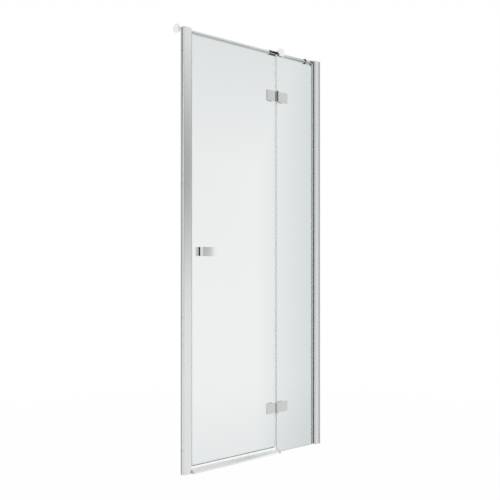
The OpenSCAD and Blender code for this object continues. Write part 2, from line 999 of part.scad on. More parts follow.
module upper_door_pads() {
    color("gray") hinge_pads(-1, upper_hinge_z);
}

module lower_door_pads() {
    color("gray") hinge_pads(-1, lower_hinge_z);
}

module upper_hinge_pin() {
    color("lightgray") hinge_pin(upper_hinge_z);
}

module lower_hinge_pin() {
    color("lightgray") hinge_pin(lower_hinge_z);
}

module upper_hinge_bushes() {
    color("ivory") hinge_bushes(upper_hinge_z);
}

module lower_hinge_bushes() {
    color("ivory") hinge_bushes(lower_hinge_z);
}

module panel_hinge_screws() {
    color("lightgray") hinge_screws(1);
}

module door_hinge_screws() {
    color("lightgray") hinge_screws(-1);
}

// ---- Door leaf ----

module door_glass() {
    color("lightcyan", 0.4)
        difference() {
            slab([door_x0, door_x1], [-glass_face, glass_face], [door_lift, glass_top]);
            hinge_holes(-1);
            for (x = handle_stud_x)
                rod_y(x, handle_z, handle_hole_r, [-glass_t, glass_t]);
        }
}

// Clear seal on the hinge edge of the door, left out where the hinges are
module hinge_side_seal() {
    fin_end = fixed_x0 - blade_gap;
    spans = [
        [door_lift + seal_end_gap, lower_hinge_z - hinge_clear],
        [lower_hinge_z + hinge_clear, upper_hinge_z - hinge_clear],
        [upper_hinge_z + hinge_clear, glass_top - seal_end_gap]
    ];
    color("lightblue")
        for (span = spans)
            translate([0, 0, span[0]])
                linear_extrude(span[1] - span[0])
                    difference() {
                        union() {
                            translate([door_x1 - seal_grip, -seal_outer])
                                square([seal_grip + fit + seal_wall, 2 * seal_outer]);
                            translate([door_x1, seal_outer - fin_t])
                                square([fin_end - door_x1, fin_t]);
                        }
                        translate([door_x1 - seal_grip - 1, -seal_slot])
                            square([seal_grip + 1 + fit, 2 * seal_slot]);
                    }
}

// Clear seal under the door, with a blade over the threshold and a drip flap
module bottom_seal() {
    blade_end = threshold_h + blade_gap;
    clip_top = door_lift + seal_grip;
    clip_floor = door_lift - fit - seal_wall;
    flap_end = clip_floor - flap_drop;
    color("lightblue")
        along_x([door_x0 + seal_grip + 1, door_x1 - seal_grip - 1])
            polygon([
                [-seal_outer, clip_floor],
                [-seal_wall, clip_floor],
                [-seal_wall / 2, blade_end],
                [seal_wall / 2, blade_end],
                [seal_wall, clip_floor],
                [seal_outer - seal_wall, clip_floor],
                [flap_reach, flap_end],
                [flap_reach, flap_end + 1],
                [seal_outer, clip_floor + seal_wall],
                [seal_outer, clip_top],
                [seal_slot, clip_top],
                [seal_slot, door_lift - fit],
                [-seal_slot, door_lift - fit],
                [-seal_slot, clip_top],
                [-seal_outer, clip_top]
            ]);
}

// ---- Handle: two bowed pulls, back to back on the glass ----

// Plan of a pull, drawn in front of the glass
module pull_plan() {
    middle = handle_x0 + handle_w / 2;
    inner_r = 3;
    difference() {
        intersection() {
            union() {
                translate([middle, handle_front + handle_depth / 2])
                    rounded_rect(handle_w, handle_depth, handle_corner_r);
                translate([handle_x0, handle_back - handle_depth / 2])
                    square([handle_w, handle_depth / 2]);
            }
            translate([middle, handle_front + handle_crown_r])
                circle(r = handle_crown_r, $fn = 4 * round_fn);
        }
        translate([middle, handle_back])
            rounded_rect(handle_w - 2 * handle_leg_t, 2 * (handle_depth - handle_plate_t), inner_r);
    }
}

module pull() {
    difference() {
        translate([0, 0, handle_z - handle_h / 2])
            linear_extrude(handle_h)
                pull_plan();
        for (x = handle_stud_x)
            rod_y(x, handle_z, stud_r + fit / 5, [handle_back - stud_grip - 1, handle_back + 1]);
    }
}

module outer_handle() {
    color("silver") pull();
}

module inner_handle() {
    color("silver")
        mirror([0, 1, 0])
            pull();
}

// Rubber pads under the four feet of the pulls
module handle_pads() {
    color("dimgray")
        for (x = handle_stud_x, face = [-1, 1])
            difference() {
                slab([x - handle_leg_t / 2, x + handle_leg_t / 2],
                     face > 0 ? [glass_face, -handle_back] : [handle_back, -glass_face],
                     [handle_z - handle_h / 2, handle_z + handle_h / 2]);
                rod_y(x, handle_z, stud_r + fit, [-glass_t, glass_t]);
            }
}

module handle_studs() {
    color("lightgray")
        for (x = handle_stud_x)
            rod_y(x, handle_z, stud_r, [handle_back - stud_grip, stud_grip - handle_back]);
}

// Rubber sleeves that keep the studs off the glass
module handle_sleeves() {
    color("dimgray")
        for (x = handle_stud_x)
            difference() {
                rod_y(x, handle_z, handle_hole_r - fit, [-glass_face, glass_face]);
                rod_y(x, handle_z, stud_r + fit, [-glass_t, glass_t]);
            }
}

left_wall_channel();
left_cover_profile();
left_top_cap();
left_profile_screws();
strike_profile();
strike_magnet();
right_wall_channel();
right_cover_profile();
right_top_cap();
right_profile_screws();
glazing_gasket_front();
glazing_gasket_back();
setting_blocks();
fixed_glass();
threshold_bar();
threshold_left_cap();
threshold_right_cap();
stabiliser_tube();
left_tube_socket();
left_rosette();
right_tube_socket();
right_rosette();
tube_end_ring();
tube_set_screws();
clamp_body();
clamp_front_jaw();
clamp_pads();
clamp_screw();
upper_panel_plate();
upper_panel_back_plate();
upper_panel_pads();
upper_hinge_pin();
lower_panel_plate();
lower_panel_back_plate();
lower_panel_pads();
lower_hinge_pin();
panel_hinge_screws();
hinge_pin_set_screws();
door_glass();
latch_seal();
latch_magnet();
hinge_side_seal();
bottom_seal();
upper_door_plate();
upper_door_back_plate();
upper_door_pads();
upper_hinge_bushes();
lower_door_plate();
lower_door_back_plate();
lower_door_pads();
lower_hinge_bushes();
door_hinge_screws();
outer_handle();
inner_handle();
handle_pads();
handle_studs();
handle_sleeves();
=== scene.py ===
import math

import bmesh
import bpy
from bpy.props import FloatProperty, FloatVectorProperty, PointerProperty
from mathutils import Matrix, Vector


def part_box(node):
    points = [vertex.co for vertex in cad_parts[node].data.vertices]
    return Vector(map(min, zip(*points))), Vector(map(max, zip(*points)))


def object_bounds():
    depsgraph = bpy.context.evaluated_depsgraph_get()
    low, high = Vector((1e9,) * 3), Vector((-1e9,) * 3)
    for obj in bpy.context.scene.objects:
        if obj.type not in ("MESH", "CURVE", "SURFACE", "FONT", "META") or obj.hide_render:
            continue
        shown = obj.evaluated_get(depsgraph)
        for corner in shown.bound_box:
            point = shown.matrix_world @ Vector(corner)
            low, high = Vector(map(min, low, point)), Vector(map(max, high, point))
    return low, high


bl_info = {
    "name": "Hinged Shower Door",
    "version": (1, 0, 0),
    "blender": (4, 5, 0),
    "location": "3D Viewport > Sidebar > Shower Door",
    "description": "Gives a hinged shower door with a fixed panel its materials and a studio",
    "category": "Object",
}

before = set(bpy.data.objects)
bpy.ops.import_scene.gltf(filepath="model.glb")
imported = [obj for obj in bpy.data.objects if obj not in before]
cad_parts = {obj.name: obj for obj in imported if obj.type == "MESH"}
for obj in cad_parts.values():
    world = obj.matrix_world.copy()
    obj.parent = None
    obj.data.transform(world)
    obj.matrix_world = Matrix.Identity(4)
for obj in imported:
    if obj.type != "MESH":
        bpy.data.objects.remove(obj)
CAD_BOUNDS = [list(v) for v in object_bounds()]

# The door stands between two walls; the fixed pane is at the right one
WALL_X = CAD_BOUNDS[1][0]
DOOR_MIDDLE = (CAD_BOUNDS[0][0] + CAD_BOUNDS[1][0]) / 2
TOP_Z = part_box("left_top_cap")[1][2]

# A face this close to a piece's end, in metres, counts as lying at it
TOLERANCE = 0.001

# Nodes that share a finish
LEVELS = ("upper", "lower")
CHANNELS = ["left_wall_channel", "right_wall_channel"]
PANES = ["fixed_glass", "door_glass"]
HINGE_PARTS = ("panel_plate", "panel_back_plate", "door_plate", "door_back_plate", "hinge_pin")
HINGE_METAL = [f"{level}_{part}" for level in LEVELS for part in HINGE_PARTS]
HINGE_PADS = [f"{level}_{side}_pads" for level in LEVELS for side in ("panel", "door")]
BUSHES = [f"{level}_hinge_bushes" for level in LEVELS]
CAST_METAL = ["left_tube_socket", "left_rosette", "right_rosette", "clamp_front_jaw"]
SCREWS = [
    "left_profile_screws", "right_profile_screws", "tube_set_screws", "clamp_screw",
    "panel_hinge_screws", "door_hinge_screws", "hinge_pin_set_screws", "handle_studs",
]
CLEAR_VINYL = ["latch_seal", "bottom_seal", "setting_blocks"]


def linear(code):
    """Turns a six-digit sRGB colour code into linear RGB."""
    channels = [int(code[i:i + 2], 16) / 255 for i in (1, 3, 5)]
    return tuple(c / 12.92 if c <= 0.04045 else ((c + 0.055) / 1.055) ** 2.4 for c in channels)


def colour(name, code, description):
    return FloatVectorProperty(
        name=name, description=description, subtype="COLOR", size=3, min=0.0, max=1.0, default=linear(code)
    )


def length(name, millimetres, description):
    return FloatProperty(
        name=name, description=description, unit="LENGTH", min=0.0, default=millimetres / 1000
    )


def factor(name, value, description):
    return FloatProperty(
        name=name, description=description, subtype="FACTOR", min=0.0, max=1.0, default=value
    )


class DoorColours(bpy.types.PropertyGroup):
    """Colours of the door's materials."""

    profile: colour("Profile", "#DFE0E1", "Bright aluminium of the wall profiles")
    # Painted shade: a darker strip on the right profile beside the gasket, and its darkening towards the wall
    strip_shade: colour("Greased profile", "#C6C7C8", "The same aluminium beside the gasket")
    wall_shade: colour("Lime", "#9C9E9E", "The same aluminium, dull with lime beside the right wall")
    bar: colour("Threshold bar", "#F8F9F8", "Bright aluminium of the threshold")
    # Painted shade: the threshold bar's darker tone towards the closing side
    bar_shade: colour("Threshold bar, worn", "#E4E5E3", "The same bar where feet have dulled it")
    channel: colour("Channel", "#D6D8D9", "Plain aluminium inside the profiles")
    # Painted highlight: the white on the channel's outer lip at the wall
    white_highlight: colour("Sealant", "#FFFFFF", "Pale sealant along the wall groove, on the room's side")
    # Painted shade in the wall groove: grey on its inner half; its outer half darkest at the top and painted
    # white at the foot
    groove: colour("Groove", "#A4A6A8", "Bare inner half of the wall groove")
    painted_groove: colour("Sealant bed", "#585A5A", "Outer half of the wall groove at its top, thinly filled")
    groove_foot_white: colour("Sealant bed, foot", "#FDFEFE", "The same half at the foot, filled with sealant")
    chrome: colour("Chrome", "#EBECEC", "Chrome plate of handle, rosettes and clamp")
    # Painted shade: the pull's bowed front darker towards its free end
    pull_shade: colour("Handled chrome", "#C8C9C9", "The same plate where fingers dull the pull")
    hinge: colour("Hinge chrome", "#CBCDCC", "Chrome plate of the hinges, inner pull and long socket")
    tube: colour("Tube chrome", "#DADDDD", "Chrome plate of the tube")
    # Painted shade: the tube darker towards the right wall
    tube_shade: colour("Tube chrome, wall side", "#A8ABAB", "The same tube, dull beside the right wall")
    # Painted dark reflection on the clamp's collar and the long socket's end
    dark_reflection: colour("Sleeve", "#3A3B3D", "Gun-metal of the clamp's collar and the long socket's end")
    steel: colour("Steel", "#B5B7B9", "Stainless screws and studs")
    glass: colour("Glass", "#F6F7F7", "Tint of a clean pane's face")
    # Painted shade: the glass darker towards the right wall, at its top and at its foot
    glass_shade: colour("Glass, wall side", "#E7EAEA", "Tint of a pane's face under the film at the right wall")
    glass_shine: colour("Glass reflection", "#F7FAF9", "Tint of what the glass mirrors")
    # Painted light: a pale margin on the fixed pane beside its profile
    glass_painted_light: colour("Glass margin", "#E4ECE9", "Cloudy margin of the fixed pane beside its profile")
    glass_edge: colour("Glass edge", "#D9E4E0", "Polished edges of the panes")
    glass_foot: colour("Glass foot", "#181A1A", "Lower edge of the door pane, in its own shade")
    wedge: colour("Wedge", "#D6D9D9", "Gasket behind the fixed pane")
    seal: colour("Seal", "#FDFEFE", "Clear vinyl of the seals")
    seal_tip: colour("Seal tip", "#7F8686", "Soft tip of the seal between the panes")
    strike: colour("Strike", "#DDE0E0", "Pale strip in the left profile's pocket")
    magnet: colour("Magnet", "#D0D3D3", "Coated magnet strips in the closing seal")
    cap: colour("End cap", "#D9DADB", "Moulded caps of the threshold")
    pad: colour("Pad", "#E6E8E8", "Die-cut pads of the hinges")
    nylon: colour("Nylon", "#DCD6C4", "Bushes of the hinges")
    rubber: colour("Rubber", "#121314", "Gaskets, handle pads and rings")


class DoorSizes(bpy.types.PropertyGroup):
    """Sizes of the surface patterns and of worn edges."""

    draw_line: length("Draw line", 0.5, "Spacing of the lines that extrusion leaves along a profile")
    brush_line: length("Brush line", 0.3, "Spacing of the grain on brushed and drawn metal")
    ripple: length("Ripple", 35.0, "Size of the slow waves in polished plate")
    ripple_depth: length("Ripple depth", 0.02, "Depth of those waves")
    edge: length("Edge radius", 0.3, "Radius to which metal edges look broken")
    grain: length("Grain", 0.8, "Size of the texture on moulded plastic and rubber")
    haze: length("Haze", 90.0, "Size of the patches of thin film on the glass")


class DoorShadeAndMarks(bpy.types.PropertyGroup):
    """Where light and shade are painted on, how strong they are, and how milky clear vinyl looks."""

    blend: length("Blend", 1.0, "Width over which one tone passes into the next")
    # Places of the painted shade on the right profile: its darker strip and where it darkens towards the wall
    strip_shade_inset: length("Grease inset", 4.0, "Distance of the greased strip from the right profile's edge")
    strip_shade_width: length("Grease width", 7.0, "Width of the greased strip")
    wall_shade_inset: length("Lime inset", 16.5, "Distance from that edge at which the lime starts")
    # Painted light: reach and strength of the fixed pane's pale margin
    margin: length("Cloudy margin", 53.0, "Reach of the cloudy margin of the fixed pane from the right wall")
    margin_light: factor("Cloud", 0.85, "Strength of that margin")
    # Painted shade on the glass: from what height its top darkens, how far its foot darkens, and how strongly
    top_shade_from: factor("Steam height", 0.70, "Share of the door's height from which steam dulls the glass")
    top_shade: factor("Steam", 0.62, "How far steam dulls the top of the glass")
    foot_shade_to: factor("Splash height", 0.16, "Share of the door's height that splashes reach")
    splash: factor("Splash", 0.32, "How far splashes dull the foot of the glass")
    # Heights between which the groove's painted shade passes from white at the foot to darkest at the top
    groove_fade_from: factor("Filled bed", 0.17, "Share of the door's height up to which sealant fills the groove")
    groove_fade_to: factor("Thin bed", 0.96, "Share of the door's height from which the groove is thinly filled")
    # Where the bar's painted shade starts and where the bar is plain again
    bar_shade: length("Worn bar", 150.0, "Distance left of the middle from which feet have worn the bar")
    bar_bright: length("Bright bar", 120.0, "Distance right of the middle from which the bar is bright")
    # Painted dark reflection at the long socket's end by the right wall
    dark_end_reach: length("Bare socket", 34.0, "Reach of the long socket's bare end from the right wall")
    dark_end_blend: length("Bare blend", 6.0, "Length over which the plating of that socket ends")
    # The pull's far end that its painted shade leaves plain
    bow_unshaded: length("Clean bow", 12.0, "Length of the pull's far end that fingers leave clean")
    milk: factor("Milk", 0.16, "How milky clear vinyl looks where it turns from the eye")
    wet_milk: factor("Wet milk", 0.02, "The same for the seal that is wet against the glass")


class DoorStudio(bpy.types.PropertyGroup):
    """Light, floor and camera."""

    backdrop: colour("Backdrop", "#FFFFFF", "Colour behind the object")
    floor: length("Floor", 40000.0, "Radius of the floor")
    floor_drop: length("Floor drop", 2.0, "Gap between the object and the floor")
    floor_tone: colour("Floor tone", "#F3F3F3", "Colour of the floor where it keeps the shadow")
    floor_plain: factor("Plain floor", 0.97, "Share of the backdrop's colour in the floor near the object")
    floor_near: length("Near floor", 800.0, "Distance to which that share holds")
    floor_far: length("Far floor", 2600.0, "Distance from which the floor is all backdrop")
    room: length("Room", 9000.0, "Radius of the wall that metal and glass mirror")
    dim_side: FloatVectorProperty(
        name="Dim side", description="Level direction in which that wall is dimmest", size=3,
        default=(-0.70, -0.72, 0.0),
    )
    dim: FloatProperty(name="Dim", description="Strength of the wall on its dim side", min=0.0, default=0.02)
    dim_start: factor("Dim start", 0.60, "Cosine of the angle at which the wall starts to dim")
    dim_full: factor("Dim full", 0.85, "Cosine of the angle at which the wall is dimmest")
    band_side: FloatVectorProperty(
        name="Band side", description="Level direction in which the wall's darker band lies", size=3,
        default=(0.34, -0.94, 0.0),
    )
    band: FloatProperty(name="Band", description="Strength of the wall in that band", min=0.0, default=0.42)
    band_start: factor("Band start", 0.89, "Cosine of the angle at which the band starts")
    band_full: factor("Band full", 0.94, "Cosine of the angle at which the band is whole")
    band_z: length("Band height", 2460.0, "Height of the darker band")
    band_fade: length("Band fade", 2400.0, "Height over which the darker band fades, up or down")
    sky: FloatProperty(name="Sky", description="Strength of the light from all round", min=0.0, default=0.62)
    key: FloatProperty(name="Key", description="Power of the large lamp", unit="POWER", min=0.0, default=70.0)
    key_width: length("Key width", 2000.0, "Width of the large lamp")
    key_height: length("Key height", 3000.0, "Height of the large lamp")
    key_place: FloatVectorProperty(
        name="Key place", description="Place of the large lamp", subtype="TRANSLATION", unit="LENGTH",
        default=(-3.2, -2.2, 3.6),
    )
    key_aim: FloatVectorProperty(
        name="Key aim", description="Point that the large lamp faces", subtype="TRANSLATION", unit="LENGTH",
        default=(0.0, 0.0, 1.0),
    )
    lens: FloatProperty(name="Lens", description="Focal length in millimetres", min=10.0, default=57.64)
    camera: FloatVectorProperty(
        name="Camera", description="Place of the camera", subtype="TRANSLATION", unit="LENGTH",
        default=(-2.660, -2.703, 0.920),
    )
    heading: FloatProperty(
        name="Heading", description="Turn of the level camera", subtype="ANGLE", default=math.radians(-44.12)
    )
    rise: FloatProperty(name="Rise", description="Upward shift of the level camera", default=0.0268)


def settings():
    return bpy.context.scene.shower_door


# ---- Node helpers ----


def add(tree, kind, at=(0, 0), inputs=None, **attributes):
    """Adds a node, sets its attributes and fills its inputs with values or sockets."""
    node = tree.nodes.new(kind)
    node.location = at
    for key, value in attributes.items():
        setattr(node, key, value)
    for key, value in (inputs or {}).items():
        if isinstance(value, bpy.types.NodeSocket):
            tree.links.new(value, node.inputs[key])
        elif node.inputs[key].type == "RGBA" and len(value) == 3:
            node.inputs[key].default_value = (*value, 1.0)
        else:
            node.inputs[key].default_value = value
    return node


def mapped(tree, value, start, end, at, low=0.0, high=1.0, **attributes):
    """Maps a value that runs from start to end to the range from low to high."""
    inputs = {"Value": value, "From Min": start, "From Max": end, "To Min": low, "To Max": high}
    return add(tree, "ShaderNodeMapRange", at, inputs, **attributes).outputs["Result"]


def calculated(tree, operation, first, second, at):
    return add(tree, "ShaderNodeMath", at, {0: first, 1: second}, operation=operation).outputs["Value"]


def blended(tree, share, first, second, at):
    """Blends two colours, which are inputs 6 and 7 of the node; output 2 is their blend."""
    return add(tree, "ShaderNodeMix", at, {0: share, 6: first, 7: second}, data_type="RGBA").outputs[2]


def mixed(tree, share, first, second, at):
    """Mixes two shaders."""
    return add(tree, "ShaderNodeMixShader", at, {0: share, 1: first, 2: second}).outputs["Shader"]


def coordinates(tree, at):
    """X, Y and Z of the shaded point in metres."""
    point = add(tree, "ShaderNodeTexCoord", (at[0] - 200, at[1]))
    return add(tree, "ShaderNodeSeparateXYZ", at, {"Vector": point.outputs["Object"]}).outputs


def noise(tree, spacing, at, detail=2.0):
    """Noise in object space, with its own real spacing along each axis in metres."""
    point = add(tree, "ShaderNodeTexCoord", (at[0] - 400, at[1]))
    scaled = add(
        tree, "ShaderNodeMapping", (at[0] - 200, at[1]),
        {"Vector": point.outputs["Object"], "Scale": tuple(1 / s for s in spacing)},
    )
    return add(
        tree, "ShaderNodeTexNoise", at, {"Vector": scaled.outputs["Vector"], "Scale": 1.0, "Detail": detail}
    ).outputs["Fac"]


def between(tree, grain, low, high, at):
    """Maps the middle of a noise to a narrow range."""
    return mapped(tree, grain, 0.3, 0.7, at, low, high)


def tones_along(tree, tones):
    """Blends colours along X, where tones pairs each place with its colour, from low X to high."""
    start, end = tones[0][0], tones[-1][0]
    x = coordinates(tree, (-800, 250))["X"]
    ramp = add(tree, "ShaderNodeValToRGB", (-350, 250), {"Fac": mapped(tree, x, start, end, (-600, 250))})
    stops = ramp.color_ramp.elements
    stops.remove(stops[1])
    stops[0].color = (*tones[0][1], 1.0)
    for place, tone in tones[1:]:
        stops.new((place - start) / (end - start)).color = (*tone, 1.0)
    return ramp.outputs["Color"]


# ---- Materials ----


def material(name):
    """Starts an empty material and returns it with its tree."""
    made = bpy.data.materials.new(name)
    made.use_nodes = True
    made.node_tree.nodes.clear()
    return made, made.node_tree


def close(tree, shader):
    add(tree, "ShaderNodeOutputMaterial", (700, 0), {"Surface": shader})


def metal(name, base, spacing, roughness, spread, depth):
    """Metal whose grain follows its spacing; the bump's depth is in metres.

    The base is one colour, or a list of tones along X. The roughness varies by the spread.
    """
    made, tree = material(name)
    if isinstance(base, list):
        base = tones_along(tree, base)
    grain = noise(tree, spacing, (-600, -200))
    # A broken edge catches a thin highlight
    edge = add(tree, "ShaderNodeBevel", (-300, -420), {"Radius": settings().sizes.edge}, samples=4)
    # Grain scatters the reflection along the lines
    bump = add(
        tree, "ShaderNodeBump", (0, -300),
        {"Height": grain, "Distance": depth, "Strength": 1.0, "Normal": edge.outputs["Normal"]},
    )
    shader = add(
        tree, "ShaderNodeBsdfPrincipled", (300, 0),
        {
            "Base Color": base,
            "Metallic": 1.0,
            "Roughness": between(tree, grain, roughness - spread, roughness + spread, (0, 0)),
            "Normal": bump.outputs["Normal"],
        },
    )
    close(tree, shader.outputs["BSDF"])
    return made


def plated(name, base, roughness, spread):
    """Polished plate, in which slow waves bend the reflections."""
    sizes = settings().sizes
    return metal(name, base, (sizes.ripple,) * 3, roughness, spread, sizes.ripple_depth)


def moulded(name, base, roughness, depth=1e-5):
    """Plastic or rubber with a fine moulded texture; the bump's depth is in metres."""
    made, tree = material(name)
    size = settings().sizes.grain
    grain = noise(tree, (size, size, size), (-600, -200))
    # The texture breaks up the sheen
    bump = add(tree, "ShaderNodeBump", (0, -300), {"Height": grain, "Distance": depth, "Strength": 1.0})
    shader = add(
        tree, "ShaderNodeBsdfPrincipled", (300, 0),
        {
            "Base Color": base,
            "Roughness": between(tree, grain, roughness - 0.05, roughness + 0.05, (0, 0)),
            "Normal": bump.outputs["Normal"],
        },
    )
    close(tree, shader.outputs["BSDF"])
    return made


def pane_glass():
    """Clear toughened glass: the tint dims what is behind, the surface adds a sharp reflection."""
    made, tree = material("clear_toughened_glass")
    tints, shade_and_marks, size = settings().colours, settings().shade_and_marks, settings().sizes.haze
    x, _, z = coordinates(tree, (-700, 250))
    # Painted shade darkens the sheet towards the right wall, at its top and at its foot
    toward_wall = mapped(tree, x, DOOR_MIDDLE, WALL_X, (-500, 350))
    top_shade = mapped(tree, z, TOP_Z * shade_and_marks.top_shade_from, TOP_Z, (-500, 150), high=shade_and_marks.top_shade)
    splash = mapped(tree, z, TOP_Z * shade_and_marks.foot_shade_to, 0.0, (-500, -50), high=shade_and_marks.splash)
    upper = calculated(tree, "MAXIMUM", toward_wall, top_shade, (-300, 250))
    painted_shade = calculated(tree, "ADD", upper, splash, (-150, 200))
    tint = blended(tree, painted_shade, tints.glass, tints.glass_shade, (0, 200))
    clear = add(tree, "ShaderNodeBsdfTransparent", (150, 150), {"Color": tint})
    # A thin haze of dried water scatters a little light
    haze = noise(tree, (size, size, size * 2), (-600, -300), 3.0)
    gloss = add(
        tree, "ShaderNodeBsdfGlossy", (150, -100),
        {"Color": tints.glass_shine, "Roughness": between(tree, haze, 0.0, 0.02, (-300, -300))},
    )
    # Only the face towards the eye reflects, because rays pass the pane without bending
    fresnel = add(tree, "ShaderNodeFresnel", (-200, 450), {"IOR": 1.5})
    side = add(tree, "ShaderNodeNewGeometry", (-400, 600))
    front = calculated(tree, "SUBTRACT", 1.0, side.outputs["Backfacing"], (-200, 600))
    share = calculated(tree, "MULTIPLY", fresnel.outputs["Fac"], front, (0, 500))
    surface = mixed(tree, share, clear.outputs["BSDF"], gloss.outputs["BSDF"], (350, 100))
    # A pale diffuse margin in the right profile and just beside it is painted light over the shaded pocket
    margin_light = add(tree, "ShaderNodeBsdfDiffuse", (350, -150), {"Color": tints.glass_painted_light})
    margin_x = WALL_X - shade_and_marks.margin
    margin = mapped(tree, x, margin_x, margin_x + shade_and_marks.blend, (350, 400), high=shade_and_marks.margin_light)
    close(tree, mixed(tree, margin, surface, margin_light.outputs["BSDF"], (520, 100)))
    return made


def glass_edge(name, base, sheen=0.5):
    """Edge of a pane, where the eye looks along the sheet and sees its own green."""
    made, tree = material(name)
    size = settings().sizes.grain
    wave = noise(tree, (size, size, size * 20), (-600, -200))
    shader = add(
        tree, "ShaderNodeBsdfPrincipled", (300, 0),
        {
            "Base Color": base,
            "Roughness": between(tree, wave, 0.05, 0.16, (0, 0)),
            "IOR": 1.5,
            "Specular IOR Level": sheen,
        },
    )
    close(tree, shader.outputs["BSDF"])
    return made


def clear_vinyl(name, milk):
    """Clear soft seal: mostly see-through, milkier where it turns away from the eye."""
    made, tree = material(name)
    size, tint = settings().sizes.grain, settings().colours.seal
    grain = noise(tree, (size, size, size * 30), (-600, -200))
    clear = add(tree, "ShaderNodeBsdfTransparent", (0, 200), {"Color": tint})
    # The body of the vinyl scatters the light that enters it
    body = add(
        tree, "ShaderNodeBsdfPrincipled", (0, 0),
        {"Base Color": tint, "Roughness": between(tree, grain, 0.25, 0.4, (-300, 0)), "IOR": 1.45},
    )
    facing = add(tree, "ShaderNodeLayerWeight", (0, 400), {"Blend": 0.3})
    share = mapped(tree, facing.outputs["Facing"], 0.0, 1.0, (200, 400), milk / 8, milk)
    close(tree, mixed(tree, share, clear.outputs["BSDF"], body.outputs["BSDF"], (400, 100)))
    return made


def groove_painted_shade():
    """Floor of the wall groove in painted shade: grey on its inner half, its outer half darkest at the top
    and painted white towards the foot.
    """
    made, tree = material("groove_painted_shade")
    tints, shade_and_marks, size = settings().colours, settings().shade_and_marks, settings().sizes.grain
    _, y, z = coordinates(tree, (-700, 200))
    height = mapped(tree, z, TOP_Z * shade_and_marks.groove_fade_from, TOP_Z * shade_and_marks.groove_fade_to, (-500, 300))
    inner = mapped(tree, y, -shade_and_marks.blend / 2, shade_and_marks.blend / 2, (-500, 100))
    painted = blended(tree, height, tints.groove_foot_white, tints.painted_groove, (-250, 300))
    halves = blended(tree, inner, painted, tints.groove, (0, 200))
    # The groove's floor is slightly rough
    grain = noise(tree, (size, size, size), (-600, -300))
    bump = add(tree, "ShaderNodeBump", (0, -300), {"Height": grain, "Distance": 1e-5, "Strength": 1.0})
    shader = add(
        tree, "ShaderNodeBsdfPrincipled", (300, 0),
        {"Base Color": halves, "Roughness": 0.7, "Normal": bump.outputs["Normal"]},
    )
    close(tree, shader.outputs["BSDF"])
    return made


# ---- Dressing ----


def dress(names, *materials):
    """Gives CAD nodes their material slots and leaves their shape as it is."""
    for name in names:
        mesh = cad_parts[name].data
        mesh.materials.clear()
        for made in materials:
            mesh.materials.append(made)
        for polygon in mesh.polygons:
            polygon.material_index = 0


def assign(name, slot, belongs):
    """Gives a slot to those faces of a node that belong to it."""
    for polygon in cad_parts[name].data.polygons:
        if belongs(polygon):
            polygon.material_index = slot


# ---- Operators ----


class SHOWERDOOR_OT_profiles(bpy.types.Operator):
    """Dress the wall profiles, their caps and the channels"""

    bl_idname = "showerdoor.profiles"
    bl_label = "Wall Profiles"

    # Depth of the groove in a wall channel, in metres
    groove_depth = 0.0008

    def execute(self, context):
        tint, shade_and_marks, line = settings().colours, settings().shade_and_marks, settings().sizes.draw_line
        # Extrusion lines run up the profile, so the grain is long in Z
        drawn = (line, line, line * 400)
        bright = metal("polished_aluminium", tint.profile, drawn, roughness=0.20, spread=0.04, depth=1e-6)
        dress(["left_cover_profile", "left_top_cap"], bright)
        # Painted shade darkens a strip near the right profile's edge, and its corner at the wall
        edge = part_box("right_cover_profile")[0][0]
        strip = edge + shade_and_marks.strip_shade_inset
        strip_end = strip + shade_and_marks.strip_shade_width
        tones = [
            (strip - shade_and_marks.blend, tint.profile), (strip, tint.strip_shade), (strip_end, tint.strip_shade),
            (strip_end + 1.5 * shade_and_marks.blend, tint.profile), (edge + shade_and_marks.wall_shade_inset, tint.profile),
            (WALL_X, tint.wall_shade),
        ]
        wall_shaded = metal("wall_shaded_aluminium", tones, drawn, roughness=0.20, spread=0.04, depth=1e-6)
        dress(["right_cover_profile", "right_top_cap"], wall_shaded)
        self.channels(tint, line)
        return {"FINISHED"}

    def channels(self, tint, line):
        """The groove is seen from the wall: its floor gets painted shade and its outer lip a painted white
        highlight.
        """
        drawn = (line, line, line * 300)
        plain = metal("mill_finish_aluminium", tint.channel, drawn, roughness=0.38, spread=0.08, depth=2e-6)
        # The groove's floor gets painted shade, the outer lip a painted white highlight
        dress(CHANNELS, plain, groove_painted_shade(), moulded("lip_white_highlight", tint.white_highlight, roughness=0.6))
        for name in CHANNELS:
            assign(name, 1, lambda face: self.groove_depth / 4 < self.depth(face) < self.groove_depth * 1.25)
            assign(name, 2, lambda face: self.depth(face) <= self.groove_depth / 4 and face.center.y < 0)

    def depth(self, face):
        """How deep a channel's face lies under the plane of its wall."""
        return WALL_X - abs(face.center.x)


class SHOWERDOOR_OT_threshold(bpy.types.Operator):
    """Dress the threshold bar and its end caps"""

    bl_idname = "showerdoor.threshold"
    bl_label = "Threshold"

    def execute(self, context):
        tint, shade_and_marks, line = settings().colours, settings().shade_and_marks, settings().sizes.draw_line
        # Painted shade darkens the bar towards the closing side
        tones = [(DOOR_MIDDLE - shade_and_marks.bar_shade, tint.bar_shade), (DOOR_MIDDLE + shade_and_marks.bar_bright, tint.bar)]
        # Its extrusion lines run along X
        drawn = (line * 400, line, line)
        bright = metal("polished_aluminium_bar", tones, drawn, roughness=0.24, spread=0.03, depth=3e-7)
        dress(["threshold_bar"], bright)
        caps = moulded("white_abs", tint.cap, roughness=0.35, depth=8e-6)
        dress(["threshold_left_cap", "threshold_right_cap"], caps)
        return {"FINISHED"}


